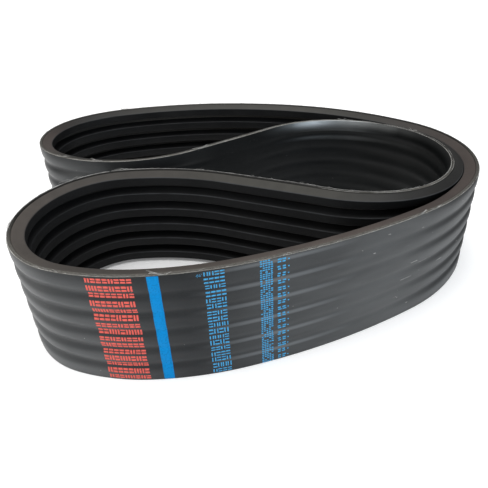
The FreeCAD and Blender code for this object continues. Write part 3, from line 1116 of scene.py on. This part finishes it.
def make_floor():
    """A plain pale floor, just under the lowest threads."""
    mesh = bpy.data.meshes.new("floor")
    half = FLOOR_HALF
    corners = [(-half, -half, 0.0), (half, -half, 0.0), (half, half, 0.0), (-half, half, 0.0)]
    mesh.from_pydata(corners, [], [(0, 1, 2, 3)])
    floor = bpy.data.objects.new("floor", mesh)
    floor.location.z = -FLOOR_DROP
    bpy.context.scene.collection.objects.link(floor)
    shader = Shader("floor")
    shader.set(Base_Color=rgb(0.93, 0.93, 0.93), Roughness=0.9, Specular_IOR_Level=0.2,
               Emission_Color=WHITE, Emission_Strength=0.15)
    paint(floor, shader.material)


def add_light(name, kind, place, direction, **settings):
    """A light at a place, shining in a direction."""
    data = bpy.data.lights.new(name, kind)
    for key, value in settings.items():
        setattr(data, key, value)
    light = bpy.data.objects.new(name, data)
    light.location = place
    light.rotation_euler = Vector(direction).to_track_quat("-Z", "Y").to_euler()
    bpy.context.scene.collection.objects.link(light)


def add_area(name, place, aim, size, power, colour):
    """A soft square light."""
    direction = Vector(aim) - Vector(place)
    add_light(name, "AREA", place, direction, size=size, energy=power, color=colour)


# How strongly the surroundings light the belt, and how bright the camera sees them.
WORLD_LIGHT = 0.25
WORLD_SEEN = 1.0


def make_world():
    """Even surroundings that light the belt softly and look as pale as the floor."""
    world = bpy.data.worlds.new("studio")
    world.use_nodes = True
    tree = world.node_tree
    background = tree.nodes["Background"]
    background.inputs["Color"].default_value = WHITE
    path = tree.nodes.new("ShaderNodeLightPath")
    level = tree.nodes.new("ShaderNodeMapRange")
    level.inputs["To Min"].default_value = WORLD_LIGHT
    level.inputs["To Max"].default_value = WORLD_SEEN
    tree.links.new(path.outputs["Is Camera Ray"], level.inputs["Value"])
    tree.links.new(level.outputs[0], background.inputs["Strength"])
    bpy.context.scene.world = world


# The camera's place, pitch and roll, and its focal length and shift as shares of the frame.
CAMERA_PLACE = (5.7 * MM, -464.2 * MM, 328.0 * MM)
CAMERA_PITCH = 30.5
CAMERA_ROLL = 2.29
FRAME_SIDE = 488.0
FOCAL_SHARE = 465.1 / FRAME_SIDE
SHIFT_X = -4.3 / FRAME_SIDE
SHIFT_Y = -39.8 / FRAME_SIDE
SENSOR = 36.0


def make_camera():
    """The camera in front of the belt, looking down on it."""
    data = bpy.data.cameras.new("camera")
    data.sensor_width = SENSOR
    data.lens = SENSOR * FOCAL_SHARE
    data.shift_x = SHIFT_X
    data.shift_y = SHIFT_Y
    camera = bpy.data.objects.new("camera", data)
    tilt = Matrix.Rotation(math.radians(90.0 - CAMERA_PITCH), 4, "X")
    roll = Matrix.Rotation(math.radians(-CAMERA_ROLL), 4, "Z")
    camera.matrix_world = Matrix.Translation(CAMERA_PLACE) @ tilt @ roll
    bpy.context.scene.collection.objects.link(camera)
    bpy.context.scene.camera = camera


# ---------------------------------------- the scene

def paint_hidden_nodes():
    """Materials for the CAD pieces inside the ribs."""
    black = plain_rubber("compression_rubber", (0.012, 0.012, 0.012), (0.022, 0.022, 0.022), 0.6)
    grey = plain_rubber("tension_rubber", (0.018, 0.018, 0.019), (0.032, 0.032, 0.033), 0.55)
    gum = plain_rubber("adhesion_gum", (0.055, 0.042, 0.030), (0.085, 0.068, 0.050), 0.4)
    looks = {
        "compression_rubber": black, "tension_rubber": grey, "upper_cord_gum": gum,
        "lower_cord_gum": gum, "tensile_cords": cord_material(),
    }
    for rib in range(1, RIB_COUNT + 1):
        for layer, material in looks.items():
            paint(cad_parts["rib_%d_%s" % (rib, layer)], material)


def build_belt():
    """Every visible piece of the belt."""
    paint(make_cover(), cover_material())
    paint(make_skim(), edge_material("skim_rubber"))
    paint(make_inner_ply(), edge_material("ply_fabric"))
    jacket = jacket_material()
    for rib in range(RIB_COUNT):
        paint(make_jacket(rib), jacket)
    thread = thread_material()
    paint(make_edge_threads("top_edge_threads", BELT_WIDTH, 1.0), thread)
    paint(make_edge_threads("bottom_edge_threads", BOTTOM_THREADS, 0.0), thread)
    paint(make_fibres(), thread)
    paint(make_scuffs(), thread)
    red = ink_material("red_ink", rgb(0.66, 0.110, 0.088), rgb(0.28, 0.075, 0.065))
    blue = ink_material("blue_ink", rgb(0.001, 0.195, 0.49), rgb(0.006, 0.11, 0.23))
    thin_blue = ink_material("thin_blue_ink", rgb(0.055, 0.300, 0.550), rgb(0.038, 0.120, 0.205))
    strokes = rows_of_cells(RED_FROM, RED_TO, RED_ROWS, RED_CELLS, RED_TALL, RED_WEIGHT)
    paint(joined_object("red_marks", strokes), red)
    paint(joined_object("blue_stripe", blue_stripe()), blue)
    paint(joined_object("blue_marks", blue_marks()), thin_blue)
    paint_hidden_nodes()


def build_studio():
    """Floor, lights and camera."""
    make_floor()
    make_world()
    spread = math.radians(60.0)
    add_light("overhead", "SUN", (0.0, 0.0, 0.0), (0.05, 0.0, -1.0), energy=2.75, angle=spread)
    add_area("right_window", (0.9, -1.2, 0.45), (0.05, -0.15, 0.05), 0.9, 11.0, (0.82, 0.91, 1.0))
    add_area("left_softbox", (-1.1, -0.5, 0.4), (-0.1, -0.1, 0.05), 0.7, 6.0, (1.0, 0.97, 0.93))
    make_camera()
    bpy.context.scene.view_settings.view_transform = "Standard"


build_belt()
build_studio()
